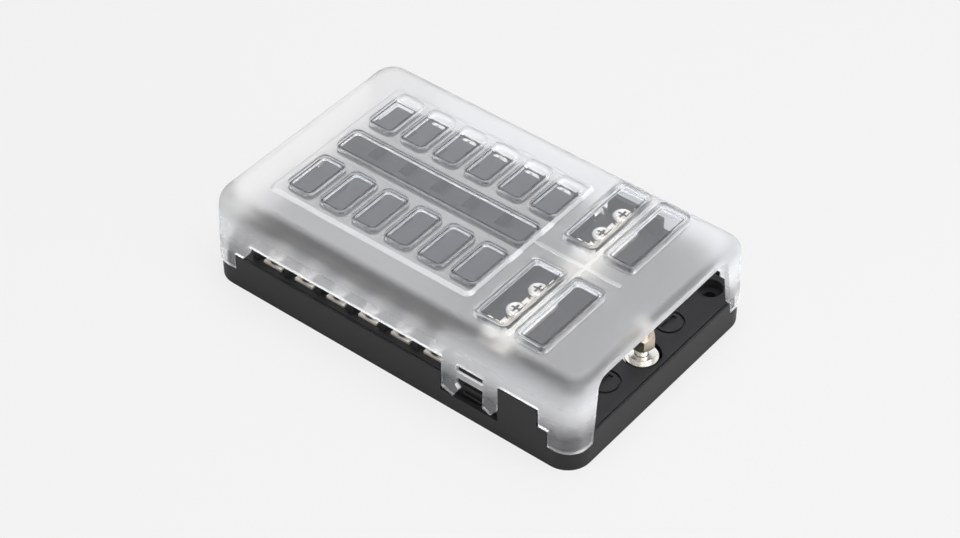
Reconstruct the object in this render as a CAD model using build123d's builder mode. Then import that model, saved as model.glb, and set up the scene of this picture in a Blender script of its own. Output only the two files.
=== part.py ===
from build123d import *
import math
import os

# A twelve-way blade fuse box with a negative bus, under a frosted lift-off cover.
# Millimetres. X runs along the length, towards the negative stud; Y runs across; Z is up.
# The origin is the middle of the underside.

# Lengths along X that make up the box, from the positive end to the negative end
POSITIVE_END = 14.5
BLOCK_LEFT = 12.5
PITCH = 14.85
WAYS = 6
BLOCK_RIGHT = 6.25
BAY_L = 23.5
NEGATIVE_END = 34.0

# Fits and corners
CORNER_R = 9.5
COVER_GAP = 0.3
SEAM_GAP = 0.25
STRIP_GAP = 0.1
OVERRUN = 1.0

# Base tray
TRAY_WALL = 2.3
LIP_T = 0.85
TRAY_FLOOR = 2.0
LEG_SEAT_Z = 8.0
LIP_Z = 15.0
CATCH_SILL_Z = 6.8

# Deck, fuse block and bus bay of the terminal housing
DECK_Z = 13.5
DECK_THICK = 2.2
HOUSING_WALL = 1.8
BLOCK_MARGIN = 7.0
BLOCK_TOP_Z = 28.0
BLOCK_WALL = 2.0
BLOCK_CORNER_R = 1.0
POCKET_DEPTH = 14.75
BAY_SETBACK = 5.75
BAY_TOP_Z = 22.0
BAY_ROOF = 2.0
BAY_WALL = 2.0
BAY_WALL_Z = 30.3
PARTITION_T = 2.4
PARTITION_Z = 22.1
PARTITION_SETBACK = 0.5
CATCH_SETBACK = 0.2

# Fuse sockets
SOCKET_X = 6.4
SOCKET_Y = 22.0
SOCKET_CENTRE_Y = 19.0
SOCKET_DEPTH = 6.0
SOCKET_FLOOR = 1.8
BLADE_SPACING = 14.0
SLOT_X = 1.4
SLOT_Y = 5.8

# Stamped terminals, fuse clips and bus bars
TERMINAL_W = 8.3
TERMINAL_T = 1.0
TERMINAL_SETBACK = 3.75
TERMINAL_NECK_W = 5.0
SCREW_SETBACK = 4.0
CLIP_Y = 5.2
CLIP_LEAF = 0.6
CLIP_GAP = 0.8
CLIP_FLARE = 0.7
CLIP_WAIST = 2.0
BUS_T = 1.5
BUS_HALF_Y = 14.6
TAIL_R = 5.0
EAR_Y = 7.7
EAR_W = 6.0
EAR_T = 2.4
PLATE_INSET = 6.3
PLATE_W = 10.7
PLATE_T = 2.0
PLATE_CORNER_R = 4.55
PLATE_CHAMFER = 0.4
PLATE_INNER_Y = 4.6
PLATE_GAP = 0.7
BUS_SCREW_FIRST_Y = 12.2
BUS_SCREW_END = 6.2
BUS_SCREWS = 3
BUS_SCREW_LIFT = 4.5

# Screws: M4 pan heads and self-tapping housing screws
SCREW_R = 2.0
SCREW_FIT = 0.04
SCREW_TIP = 0.3
HEAD_R = 3.8
HEAD_H = 3.0
HEAD_CROWN = 0.7
RECESS_R = 2.1
RECESS_DEPTH = 1.7
RECESS_W = 0.9
RECESS_TAPER = 8
TERMINAL_SCREW_LIFT = 0.5
TERMINAL_SCREW_L = 8.0
BUS_SCREW_L = 10.0
SHANK_CLEARANCE = 0.4
TAPPER_R = 1.45
TAPPER_HEAD_R = 2.8
TAPPER_HEAD_H = 1.8
TAPPER_L = 8.0
TAPPER_SINK = 2.4
TAPPER_END = 24.5
TAPPER_Y = 30.0
TAPPER_LEFT_IN = 3.0
BOSS_WALL = 2.0

# M5 studs with their nuts and washers
STUD_R = 2.5
STUD_FIT = 0.1
STUD_CHAMFER = 0.6
NEGATIVE_STUD_END = 9.6
POSITIVE_STUD_END = 8.5
STUD_TOP_Z = 28.0
STUD_HEAD_AF = 8.0
STUD_HEAD_H = 3.4
STUD_WELL_R = 7.2
POSITIVE_WELL_R = 5.7
WELL_GAP = 0.5
NUT_AF = 8.0
NUT_H = 5.2
NUT_Z = 18.0
NUT_TURN = 12.0
NUT_CHAMFER = 0.55
NUT_CORNER_R = 4.8
WASHER_R = 6.0
WASHER_T = 1.6
SPRING_R = 4.6
SPRING_T = 1.3
SPRING_SPLIT = 1.2
SPRING_TURN = 25.0

# Mounting holes
MOUNT_END = 10.0
MOUNT_SIDE = 9.75
MOUNT_R = 2.4
COUNTERBORE_R = 4.75
COUNTERBORE_DEPTH = 4.0

# Polarity marks sunk in the decks
MARK_END = 11.6
MARK_Y = 18.8
MARK_R = 5.9
MARK_LINE = 0.9
MARK_BAR_L = 7.5
MARK_BAR_W = 2.0
MARK_DEPTH = 0.9

# Cover
COVER_WALL = 2.0
COVER_TOP_Z = 38.8
COVER_DRAFT = 1.5
SIDE_SHOULDER_R = 8.5
END_SHOULDER_R = 5.0
COVER_CORNER_R = 8.0
COVER_CORNER_SHARE = 0.3
COVER_CORNER_MIN = 1.0
PANEL_RISE = 1.4
PANEL_SLOPE = 45
PANEL_CORNER_R = 1.5
PANEL_SIDE = 1.6
PANEL_LEFT = 3.0
PANEL_RIGHT = 0.8
WINDOW_RISE = 1.6
WINDOW_T = 1.6
WINDOW_WALL = 1.2
WINDOW_W = 11.8
WINDOW_IN = 7.5
WINDOW_OUT = 13.8
WINDOW_R = 3.0
STRIP_HALF_Y = 6.5
BUS_WINDOW_LEFT = 6.3
BUS_WINDOW_RIGHT = 14.0
BUS_WINDOW_INNER_Y = 6.8
BUS_WINDOW_SIDE = 8.95
BUS_WINDOW_R = 2.5
CROSS_OUT = 0.9
CROSS_GAP = 2.9
RIB_W = 1.2
RIB_RISE = 0.5
LOW_EDGE_Z = 22.4
BUS_EDGE_Z = 22.8
LEG_BOTTOM_Z = LEG_SEAT_Z + COVER_GAP
LEFT_LEG = 11.8
LEFT_STEP = 15.7
LEFT_EDGE = 18.7
LEFT_CURVE = (0.7, 0.35)
RIGHT_EDGE = 15.6
RIGHT_STEP = 11.2
RIGHT_DRAFT = 0.4
END_CUT_SIDE = 10.95
END_CUT_DRAFT = 3.4
END_CUT_TOP_Z = 35.2
END_CUT_R = 4.0

# Side clip on each long side: two legs with slanted feet, a hook and a crossbar
CLIP_OUT = 0.3
CLIP_L = 24.4
CLIP_LEG_W = 6.3
FOOT_HIGH_Z = 8.7
FOOT_LOW_Z = 7.1
FOOT_TURN = 5.2
HOOK_OUT = 1.1
HOOK_Z = 11.0
HOOK_NECK = 0.2
HOOK_NECK_Z = 13.0
RIGHT_FOOT_TURN = 3.4
RIGHT_FOOT_Z = 7.7
RIGHT_FOOT_HIGH_Z = 9.1
RIGHT_CHAMFER_Z = 11.5
CROSSBAR_LOW_Z = 16.9
CROSSBAR_HIGH_Z = 19.5
CROSSBAR_T = 1.05
NOSE_STAND = 1.15
NOSE_RIBS = 3
RIDGE_ZS = (8.6, 12.2)
RIDGE_H = 0.8
RIDGE_STAND = 0.9

# Places that follow from the sizes above
ROW_L = (WAYS - 1) * PITCH
LENGTH = POSITIVE_END + BLOCK_LEFT + ROW_L + BLOCK_RIGHT + BAY_L + NEGATIVE_END
HALF_X = LENGTH / 2
BLOCK_LEFT_X = -HALF_X + POSITIVE_END
FIRST_WAY_X = BLOCK_LEFT_X + BLOCK_LEFT
LAST_WAY_X = FIRST_WAY_X + ROW_L
BLOCK_RIGHT_X = LAST_WAY_X + BLOCK_RIGHT
BAY_RIGHT_X = BLOCK_RIGHT_X + BAY_L
BLOCK_HALF_Y = SOCKET_CENTRE_Y + SOCKET_Y / 2 + BLOCK_MARGIN
HALF_Y = BLOCK_HALF_Y + POCKET_DEPTH
WIDTH = 2 * HALF_Y
BAY_HALF_Y = HALF_Y - BAY_SETBACK
TERMINAL_FRONT_Y = HALF_Y - TERMINAL_SETBACK
SCREW_Y = TERMINAL_FRONT_Y - SCREW_SETBACK
PLATE_LEFT_X = BLOCK_RIGHT_X + PLATE_INSET
PLATE_OUTER_Y = BAY_HALF_Y - BAY_WALL - PLATE_GAP
BUS_SCREW_STEP = (PLATE_OUTER_Y - BUS_SCREW_END - BUS_SCREW_FIRST_Y) / (BUS_SCREWS - 1)
NEGATIVE_STUD_X = HALF_X - NEGATIVE_STUD_END
POSITIVE_STUD_X = -HALF_X + POSITIVE_STUD_END
MOUNT_X = HALF_X - MOUNT_END
MOUNT_Y = HALF_Y - MOUNT_SIDE
MARK_X = HALF_X - MARK_END
TAPPER_X = HALF_X - TAPPER_END
TAPPER_LEFT_Y = BLOCK_HALF_Y + TAPPER_LEFT_IN
SKIRT_X = HALF_X - TRAY_WALL - SEAM_GAP
SKIRT_Y = HALF_Y - TRAY_WALL - SEAM_GAP
SKIRT_CORNER_R = CORNER_R - TRAY_WALL
FLANGE_X = HALF_X - LIP_T - SEAM_GAP
FLANGE_Y = HALF_Y - LIP_T - SEAM_GAP
UNDER_DECK_Z = DECK_Z - DECK_THICK
LEG_STEP_Z = LIP_Z + COVER_GAP
BUS_WALL_Z = BUS_EDGE_Z - COVER_GAP
SOCKET_FLOOR_Z = BLOCK_TOP_Z - SOCKET_DEPTH
CAVITY_TOP_Z = SOCKET_FLOOR_Z - SOCKET_FLOOR
TERMINAL_TOP_Z = LIP_Z + TERMINAL_T
BUS_TOP_Z = UNDER_DECK_Z - STRIP_GAP
BUS_LOW_Z = BUS_TOP_Z - BUS_T
PLATE_TOP_Z = BAY_TOP_Z + PLATE_T
PLATE_CENTRE_X = PLATE_LEFT_X + PLATE_W / 2
PANEL_TOP_Z = COVER_TOP_Z + PANEL_RISE
WINDOW_TOP_Z = PANEL_TOP_Z + WINDOW_RISE
PANEL_LEFT_X = BLOCK_LEFT_X + PANEL_LEFT
PANEL_RIGHT_X = BLOCK_RIGHT_X - PANEL_RIGHT
PANEL_HALF_Y = BLOCK_HALF_Y - PANEL_SIDE
WINDOW_INNER_Y = SOCKET_CENTRE_Y - WINDOW_IN
WINDOW_OUTER_Y = SOCKET_CENTRE_Y + WINDOW_OUT
BUS_WINDOW_LEFT_X = BLOCK_RIGHT_X + BUS_WINDOW_LEFT
BUS_WINDOW_RIGHT_X = BAY_RIGHT_X + BUS_WINDOW_RIGHT
BUS_WINDOW_OUTER_Y = HALF_Y - BUS_WINDOW_SIDE
CROSS_X = BAY_RIGHT_X - CROSS_OUT
LEFT_LEG_X = -HALF_X + LEFT_LEG
LEFT_STEP_X = -HALF_X + LEFT_STEP
LEFT_EDGE_X = -HALF_X + LEFT_EDGE
RIGHT_EDGE_X = HALF_X - RIGHT_EDGE
RIGHT_STEP_X = HALF_X - RIGHT_STEP
END_CUT_HALF_Y = HALF_Y - END_CUT_SIDE
END_CUT_TOP_HALF_Y = END_CUT_HALF_Y - END_CUT_DRAFT
CLIP_LEFT_X = BLOCK_RIGHT_X + CLIP_OUT
CLIP_RIGHT_X = CLIP_LEFT_X + CLIP_L
CATCH_Y = SKIRT_Y - CATCH_SETBACK
WAY_XS = [FIRST_WAY_X + way * PITCH for way in range(WAYS)]
BUS_SCREW_YS = [BUS_SCREW_FIRST_Y + n * BUS_SCREW_STEP for n in range(BUS_SCREWS)]
TAPPER_SPOTS = [
    (FIRST_WAY_X + PITCH / 2, -TAPPER_LEFT_Y),
    (FIRST_WAY_X + PITCH / 2, TAPPER_LEFT_Y),
    (TAPPER_X, -TAPPER_Y),
    (TAPPER_X, TAPPER_Y),
]
MOUNT_SPOTS = [(x, y) for x in (-MOUNT_X, MOUNT_X) for y in (-MOUNT_Y, MOUNT_Y)]
STUDS = {
    "negative": (NEGATIVE_STUD_X, STUD_WELL_R),
    "positive": (POSITIVE_STUD_X, POSITIVE_WELL_R),
}
SIDES = (-1, 1)


def span(low_x, high_x, low_y, high_y, corner_r=0.0):
    """A rectangle between two x and two y values, in the sketch that calls it."""
    with Locations(((low_x + high_x) / 2, (low_y + high_y) / 2)):
        if corner_r > 0:
            RectangleRounded(high_x - low_x, high_y - low_y, corner_r)
        else:
            Rectangle(high_x - low_x, high_y - low_y)


def leg_edge_y(z):
    """Half the width of the cover's end cut-out at a height."""
    share = (z - LEG_BOTTOM_Z) / (END_CUT_TOP_Z - LEG_BOTTOM_Z)
    return END_CUT_HALF_Y + share * (END_CUT_TOP_HALF_Y - END_CUT_HALF_Y)


def washer_radius(well_r):
    """The flat washer's radius in a stud well of this radius."""
    return min(WASHER_R, well_r - WELL_GAP)


# Base tray: the moulded outer pan. Its wall is stepped inside, so that the housing's flange
# drops into its lip. The wall is cut down at the corners for the cover's legs and lower
# where the clips hang, and it stands high beside the negative bus.
side_wall_top = [
    (-HALF_X, BUS_WALL_Z + OVERRUN),
    (-HALF_X, LEG_SEAT_Z),
    (LEFT_LEG_X + COVER_GAP, LEG_SEAT_Z),
    (LEFT_LEG_X + COVER_GAP, LIP_Z),
    (CLIP_LEFT_X - COVER_GAP, LIP_Z),
    (CLIP_LEFT_X - COVER_GAP, CATCH_SILL_Z),
    (CLIP_RIGHT_X + COVER_GAP, CATCH_SILL_Z),
    (CLIP_RIGHT_X + COVER_GAP, BUS_WALL_Z),
    (RIGHT_EDGE_X - COVER_GAP, BUS_WALL_Z),
    (RIGHT_EDGE_X - COVER_GAP, LIP_Z),
    (RIGHT_STEP_X - COVER_GAP, LIP_Z),
    (RIGHT_STEP_X - COVER_GAP, LEG_SEAT_Z),
    (HALF_X, LEG_SEAT_Z),
    (HALF_X, BUS_WALL_Z + OVERRUN),
]
end_wall_top = [
    (-HALF_Y, BUS_WALL_Z + OVERRUN),
    (-HALF_Y, LEG_SEAT_Z),
    (-leg_edge_y(LEG_SEAT_Z) + COVER_GAP, LEG_SEAT_Z),
    (-leg_edge_y(DECK_Z) + COVER_GAP, DECK_Z),
    (leg_edge_y(DECK_Z) - COVER_GAP, DECK_Z),
    (leg_edge_y(LEG_SEAT_Z) - COVER_GAP, LEG_SEAT_Z),
    (HALF_Y, LEG_SEAT_Z),
    (HALF_Y, BUS_WALL_Z + OVERRUN),
]

with BuildPart() as base_tray:
    with BuildSketch(Plane.XY):
        RectangleRounded(LENGTH, WIDTH, CORNER_R)
    extrude(amount=BUS_WALL_Z)
    with BuildSketch(Plane.XY.offset(TRAY_FLOOR)):
        RectangleRounded(LENGTH - 2 * TRAY_WALL, WIDTH - 2 * TRAY_WALL, SKIRT_CORNER_R)
    extrude(amount=BUS_WALL_Z, mode=Mode.SUBTRACT)
    with BuildSketch(Plane.XY.offset(UNDER_DECK_Z)):
        RectangleRounded(LENGTH - 2 * LIP_T, WIDTH - 2 * LIP_T, CORNER_R - LIP_T)
        for side in SIDES:
            wall_ys = sorted((side * (HALF_Y - TRAY_WALL), side * HALF_Y))
            with BuildSketch(mode=Mode.SUBTRACT):
                span(CLIP_RIGHT_X, RIGHT_EDGE_X, *wall_ys)
    extrude(amount=BUS_WALL_Z, mode=Mode.SUBTRACT)
    for side in SIDES:
        with BuildSketch(Plane.XZ.offset(-side * (HALF_Y - CORNER_R))):
            with BuildLine():
                Polyline(*side_wall_top, close=True)
            make_face()
        extrude(amount=-side * 2 * CORNER_R, mode=Mode.SUBTRACT)
        with BuildSketch(Plane.YZ.offset(side * (HALF_X - CORNER_R))):
            with BuildLine():
                Polyline(*end_wall_top, close=True)
            make_face()
        extrude(amount=side * 2 * CORNER_R, mode=Mode.SUBTRACT)
    with BuildSketch(Plane.XY.offset(TRAY_FLOOR)):
        with Locations(*TAPPER_SPOTS):
            Circle(TAPPER_HEAD_R + BOSS_WALL)
    extrude(amount=TAPPER_SINK)
    with BuildSketch(Plane.XY):
        with Locations(*TAPPER_SPOTS):
            Circle(TAPPER_R + SHANK_CLEARANCE)
        with Locations(*MOUNT_SPOTS):
            Circle(MOUNT_R)
    extrude(amount=TRAY_FLOOR + TAPPER_SINK, mode=Mode.SUBTRACT)
    with BuildSketch(Plane.XY):
        with Locations(*TAPPER_SPOTS):
            Circle(TAPPER_HEAD_R + SHANK_CLEARANCE)
    extrude(amount=TAPPER_SINK, mode=Mode.SUBTRACT)
    with BuildSketch(Plane.XY.offset(TRAY_FLOOR)):
        with Locations(*[(stud_x, 0) for stud_x, _ in STUDS.values()]):
            Circle(STUD_HEAD_AF / 2)
    extrude(amount=BUS_LOW_Z - STUD_HEAD_H - TRAY_FLOOR)
base_tray.part.label = "base_tray"


# Terminal housing: the inner moulding, open underneath. It carries the fuse sockets,
# the terminal pockets with their partitions, the bus bay and both stud decks.
POCKET_END_X = BLOCK_LEFT_X + BLOCK_LEFT - PITCH / 2
BAY_LEFT_X = BLOCK_RIGHT_X
PARTITION_OUT_Y = SKIRT_Y - PARTITION_SETBACK
LEDGE_RIGHT_X = CLIP_LEFT_X - COVER_GAP
LEDGE_LEFT_X = LEFT_LEG_X + COVER_GAP + LIP_T

with BuildPart() as terminal_housing:
    with BuildSketch(Plane.XY.offset(TRAY_FLOOR)):
        RectangleRounded(2 * SKIRT_X, 2 * SKIRT_Y, SKIRT_CORNER_R)
    extrude(amount=DECK_Z - TRAY_FLOOR)
    with BuildSketch(Plane.XY.offset(UNDER_DECK_Z)):
        flange_y = leg_edge_y(DECK_Z) - COVER_GAP
        span(-FLANGE_X, FLANGE_X, -flange_y, flange_y)
    extrude(amount=DECK_Z - UNDER_DECK_Z)
    with BuildSketch(Plane.XY.offset(TRAY_FLOOR)):
        RectangleRounded(
            2 * (SKIRT_X - HOUSING_WALL),
            2 * (SKIRT_Y - HOUSING_WALL),
            SKIRT_CORNER_R - HOUSING_WALL,
        )
    extrude(amount=UNDER_DECK_Z - TRAY_FLOOR, mode=Mode.SUBTRACT)
    with BuildSketch(Plane.XY.offset(DECK_Z)):
        span(BLOCK_LEFT_X, BLOCK_RIGHT_X, -BLOCK_HALF_Y, BLOCK_HALF_Y, BLOCK_CORNER_R)
    extrude(amount=BLOCK_TOP_Z - DECK_Z)
    with BuildSketch(Plane.XY.offset(DECK_Z)):
        span(BAY_LEFT_X, BAY_RIGHT_X, -BAY_HALF_Y, BAY_HALF_Y)
    extrude(amount=BAY_TOP_Z - DECK_Z)
    for side in SIDES:
        end_ys = sorted((side * (BAY_HALF_Y - BAY_WALL), side * BAY_HALF_Y))
        with BuildSketch(Plane.XY.offset(BAY_TOP_Z)):
            span(BAY_LEFT_X, BAY_RIGHT_X, *end_ys)
        extrude(amount=BAY_WALL_Z - BAY_TOP_Z)
        ledge_ys = sorted((side * BLOCK_HALF_Y, side * FLANGE_Y))
        with BuildSketch(Plane.XY.offset(UNDER_DECK_Z)):
            span(LEDGE_LEFT_X, LEDGE_RIGHT_X, *ledge_ys)
        extrude(amount=LIP_Z - UNDER_DECK_Z)
        wall_ys = sorted((side * BLOCK_HALF_Y, side * PARTITION_OUT_Y))
        with BuildSketch(Plane.XY.offset(LIP_Z)):
            for way in range(WAYS):
                wall_x = POCKET_END_X + way * PITCH - PARTITION_T / 2
                span(wall_x, wall_x + PARTITION_T, *wall_ys)
        extrude(amount=PARTITION_Z - LIP_Z)
    with BuildSketch(Plane.XY.offset(UNDER_DECK_Z)):
        span(
            BLOCK_LEFT_X + BLOCK_WALL,
            BLOCK_RIGHT_X - BLOCK_WALL,
            -BLOCK_HALF_Y + BLOCK_WALL,
            BLOCK_HALF_Y - BLOCK_WALL,
        )
    extrude(amount=CAVITY_TOP_Z - UNDER_DECK_Z, mode=Mode.SUBTRACT)
    with BuildSketch(Plane.XY.offset(UNDER_DECK_Z)):
        span(
            BAY_LEFT_X + BLOCK_WALL,
            BAY_RIGHT_X - BLOCK_WALL,
            -BAY_HALF_Y + BLOCK_WALL,
            BAY_HALF_Y - BLOCK_WALL,
        )
    extrude(amount=BAY_TOP_Z - BAY_ROOF - UNDER_DECK_Z, mode=Mode.SUBTRACT)
    with BuildSketch(Plane.XY.offset(BLOCK_TOP_Z)):
        for side in SIDES:
            with Locations(*[(x, side * SOCKET_CENTRE_Y) for x in WAY_XS]):
                Rectangle(SOCKET_X, SOCKET_Y)
    extrude(amount=-SOCKET_DEPTH, mode=Mode.SUBTRACT)
    with BuildSketch(Plane.XY.offset(SOCKET_FLOOR_Z)):
        for side in SIDES:
            for blade in SIDES:
                blade_y = side * SOCKET_CENTRE_Y + blade * BLADE_SPACING / 2
                with Locations(*[(x, blade_y) for x in WAY_XS]):
                    Rectangle(SLOT_X, SLOT_Y)
    extrude(amount=-SOCKET_FLOOR, mode=Mode.SUBTRACT)
    for side in SIDES:
        door_ys = sorted((side * (BLOCK_HALF_Y - BLOCK_WALL), side * BLOCK_HALF_Y))
        with BuildSketch(Plane.XY.offset(LIP_Z)):
            for x in WAY_XS:
                span(
                    x - TERMINAL_W / 2 - STRIP_GAP,
                    x + TERMINAL_W / 2 + STRIP_GAP,
                    *door_ys,
                )
        extrude(amount=TERMINAL_T + STRIP_GAP, mode=Mode.SUBTRACT)
        with BuildSketch(Plane.XY.offset(UNDER_DECK_Z)):
            with Locations(*[(x, side * SCREW_Y) for x in WAY_XS]):
                Circle(SCREW_R + SHANK_CLEARANCE)
        extrude(amount=LIP_Z - UNDER_DECK_Z, mode=Mode.SUBTRACT)
        with BuildSketch(Plane.XY.offset(BAY_TOP_Z - BAY_ROOF)):
            with Locations(*[(PLATE_CENTRE_X, side * y) for y in BUS_SCREW_YS]):
                Circle(SCREW_R + SHANK_CLEARANCE)
        extrude(amount=BAY_ROOF, mode=Mode.SUBTRACT)
    with BuildSketch(Plane.XY.offset(TRAY_FLOOR)):
        with Locations(*MOUNT_SPOTS):
            Circle(COUNTERBORE_R + HOUSING_WALL)
    extrude(amount=UNDER_DECK_Z - TRAY_FLOOR)
    with BuildSketch(Plane.XY.offset(TRAY_FLOOR + TAPPER_SINK)):
        with Locations(*TAPPER_SPOTS):
            Circle(TAPPER_R + BOSS_WALL)
    extrude(amount=UNDER_DECK_Z - TRAY_FLOOR - TAPPER_SINK)
    with BuildSketch(Plane.XY.offset(TRAY_FLOOR)):
        with Locations(*MOUNT_SPOTS):
            Circle(MOUNT_R)
    extrude(amount=DECK_Z - TRAY_FLOOR, mode=Mode.SUBTRACT)
    with BuildSketch(Plane.XY.offset(DECK_Z)):
        with Locations(*MOUNT_SPOTS):
            Circle(COUNTERBORE_R)
    extrude(amount=-COUNTERBORE_DEPTH, mode=Mode.SUBTRACT)
    with BuildSketch(Plane.XY.offset(TRAY_FLOOR + TAPPER_SINK)):
        with Locations(*TAPPER_SPOTS):
            Circle(TAPPER_R + SCREW_FIT)
    extrude(amount=UNDER_DECK_Z - TRAY_FLOOR - TAPPER_SINK, mode=Mode.SUBTRACT)
    for side in SIDES:
        with BuildSketch(Plane.XY.offset(BAY_TOP_Z - BAY_ROOF)):
            with Locations((PLATE_CENTRE_X, side * EAR_Y)):
                Rectangle(EAR_W + 2 * SHANK_CLEARANCE, EAR_T + 2 * SHANK_CLEARANCE)
        extrude(amount=BAY_ROOF, mode=Mode.SUBTRACT)
    for stud_x, well_r in STUDS.values():
        with BuildSketch(Plane.XY.offset(UNDER_DECK_Z)):
            with Locations((stud_x, 0)):
                Circle(well_r)
        extrude(amount=DECK_THICK, mode=Mode.SUBTRACT)
        with BuildSketch(Plane.XY.offset(BUS_LOW_Z - STUD_HEAD_H)):
            with Locations((stud_x, 0)):
                Circle(TAIL_R + COVER_GAP)
        extrude(amount=UNDER_DECK_Z - BUS_LOW_Z + STUD_HEAD_H, mode=Mode.SUBTRACT)
        with BuildSketch(Plane.XY.offset(BUS_TOP_Z - STRIP_GAP)):
            with Locations((stud_x, 0)):
                Circle(washer_radius(well_r) + COVER_GAP)
        extrude(amount=DECK_THICK, mode=Mode.SUBTRACT)
    with BuildSketch(Plane.XY.offset(DECK_Z)):
        for y in (-MARK_Y, MARK_Y):
            for x in (-MARK_X, MARK_X):
                with Locations((x, y)):
                    Circle(MARK_R)
                    Circle(MARK_R - MARK_LINE, mode=Mode.SUBTRACT)
                    Rectangle(MARK_BAR_W, MARK_BAR_L)
            with Locations((-MARK_X, y)):
                Rectangle(MARK_BAR_L, MARK_BAR_W)
    extrude(amount=-MARK_DEPTH, mode=Mode.SUBTRACT)
    for side in SIDES:
        sill_ys = sorted((side * CATCH_Y, side * FLANGE_Y))
        with BuildSketch(Plane.XY.offset(CATCH_SILL_Z)):
            span(CLIP_LEFT_X - COVER_GAP, CLIP_RIGHT_X + COVER_GAP, *sill_ys)
        extrude(amount=DECK_Z - CATCH_SILL_Z, mode=Mode.SUBTRACT)
        wall_ys = sorted((side * BAY_HALF_Y, side * CATCH_Y))
        with BuildSketch(Plane.XY.offset(DECK_Z)):
            span(CLIP_LEFT_X - COVER_GAP, CLIP_RIGHT_X + COVER_GAP, *wall_ys)
        extrude(amount=LOW_EDGE_Z - COVER_GAP - DECK_Z)
        nose_pitch = (LOW_EDGE_Z - CROSSBAR_HIGH_Z - 2 * COVER_GAP) / NOSE_RIBS
        for rib in range(NOSE_RIBS):
            stand = NOSE_STAND * (1 - rib / (2 * NOSE_RIBS))
            rib_ys = sorted((side * CATCH_Y, side * (CATCH_Y + stand)))
            with BuildSketch(Plane.XY.offset(CROSSBAR_HIGH_Z + COVER_GAP + rib * nose_pitch)):
                span(
                    CLIP_LEFT_X + CLIP_LEG_W + HOOK_OUT + COVER_GAP,
                    CLIP_RIGHT_X - CLIP_LEG_W - COVER_GAP,
                    *rib_ys,
                )
            extrude(amount=nose_pitch)
        ridge_ys = sorted((side * CATCH_Y, side * (CATCH_Y + RIDGE_STAND)))
        for ridge_z in RIDGE_ZS:
            with BuildSketch(Plane.XY.offset(ridge_z)):
                span(
                    CLIP_LEFT_X + CLIP_LEG_W + 2 * HOOK_OUT,
                    CLIP_RIGHT_X - CLIP_LEG_W - HOOK_OUT,
                    *ridge_ys,
                )
            extrude(amount=RIDGE_H)
terminal_housing.part.label = "terminal_housing"


def clip_leaves(spots, low_z):
    """Pairs of sprung leaves that grip a fuse blade, standing on low_z at each (x, y)."""
    for leaf in SIDES:
        inner = leaf * CLIP_GAP / 2
        outer = leaf * (CLIP_GAP / 2 + CLIP_LEAF)
        flare = leaf * CLIP_FLARE
        waist_z = CAVITY_TOP_Z - CLIP_WAIST
        for x, y in spots:
            with BuildSketch(Plane.XZ.offset(-y - CLIP_Y / 2)) as leaf_outline:
                with BuildLine():
                    Polyline(
                        (x + outer + flare, low_z),
                        (x + inner + flare, low_z),
                        (x + inner, waist_z),
                        (x + inner + flare, CAVITY_TOP_Z - STRIP_GAP),
                        (x + outer + flare, CAVITY_TOP_Z - STRIP_GAP),
                        (x + outer, waist_z),
                        close=True,
                    )
                make_face()
            extrude(leaf_outline.sketch, amount=CLIP_Y)


# Output terminals: one stamping for each way, with a tapped pad in the pocket,
# a neck through the block's wall and a pair of leaves under the fuse's outer blade.
OUTER_BLADE_Y = SOCKET_CENTRE_Y + BLADE_SPACING / 2
os.makedirs("parts", exist_ok=True)
number = 0
for side in SIDES:
    for x in WAY_XS:
        number += 1
        with BuildPart() as output_terminal:
            with BuildSketch(Plane.XY.offset(LIP_Z)):
                pad_ys = sorted((side * TERMINAL_FRONT_Y, side * (BLOCK_HALF_Y - BLOCK_WALL)))
                span(x - TERMINAL_W / 2, x + TERMINAL_W / 2, *pad_ys)
                neck_ys = sorted(
                    (side * (BLOCK_HALF_Y - BLOCK_WALL), side * (OUTER_BLADE_Y - CLIP_Y / 2))
                )
                span(x - TERMINAL_NECK_W / 2, x + TERMINAL_NECK_W / 2, *neck_ys)
                with Locations((x, side * SCREW_Y)):
                    Circle(SCREW_R + SCREW_FIT, mode=Mode.SUBTRACT)
            extrude(amount=TERMINAL_T)
            clip_leaves([(x, side * OUTER_BLADE_Y)], LIP_Z)
        output_terminal.part.label = f"output_terminal_{number:02d}"
        export_step(output_terminal.part, f"parts/output_terminal_{number:02d}.step")


# Positive bus bar: one stamping with a rounded tail under the positive stud
# and a pair of leaves under the inner blade of each fuse.
INNER_BLADE_Y = SOCKET_CENTRE_Y - BLADE_SPACING / 2
with BuildPart() as positive_bus_bar:
    with BuildSketch(Plane.XY.offset(BUS_LOW_Z)):
        span(FIRST_WAY_X - CLIP_Y, LAST_WAY_X + BLOCK_RIGHT / 2, -BUS_HALF_Y, BUS_HALF_Y)
        span(POSITIVE_STUD_X, FIRST_WAY_X, -TAIL_R, TAIL_R)
        with Locations((POSITIVE_STUD_X, 0)):
            Circle(TAIL_R)
            Circle(STUD_R + STUD_FIT, mode=Mode.SUBTRACT)
    extrude(amount=BUS_T)
    clip_leaves([(x, side * INNER_BLADE_Y) for x in WAY_XS for side in SIDES], BUS_TOP_Z)
positive_bus_bar.part.label = "positive_bus_bar"


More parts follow.
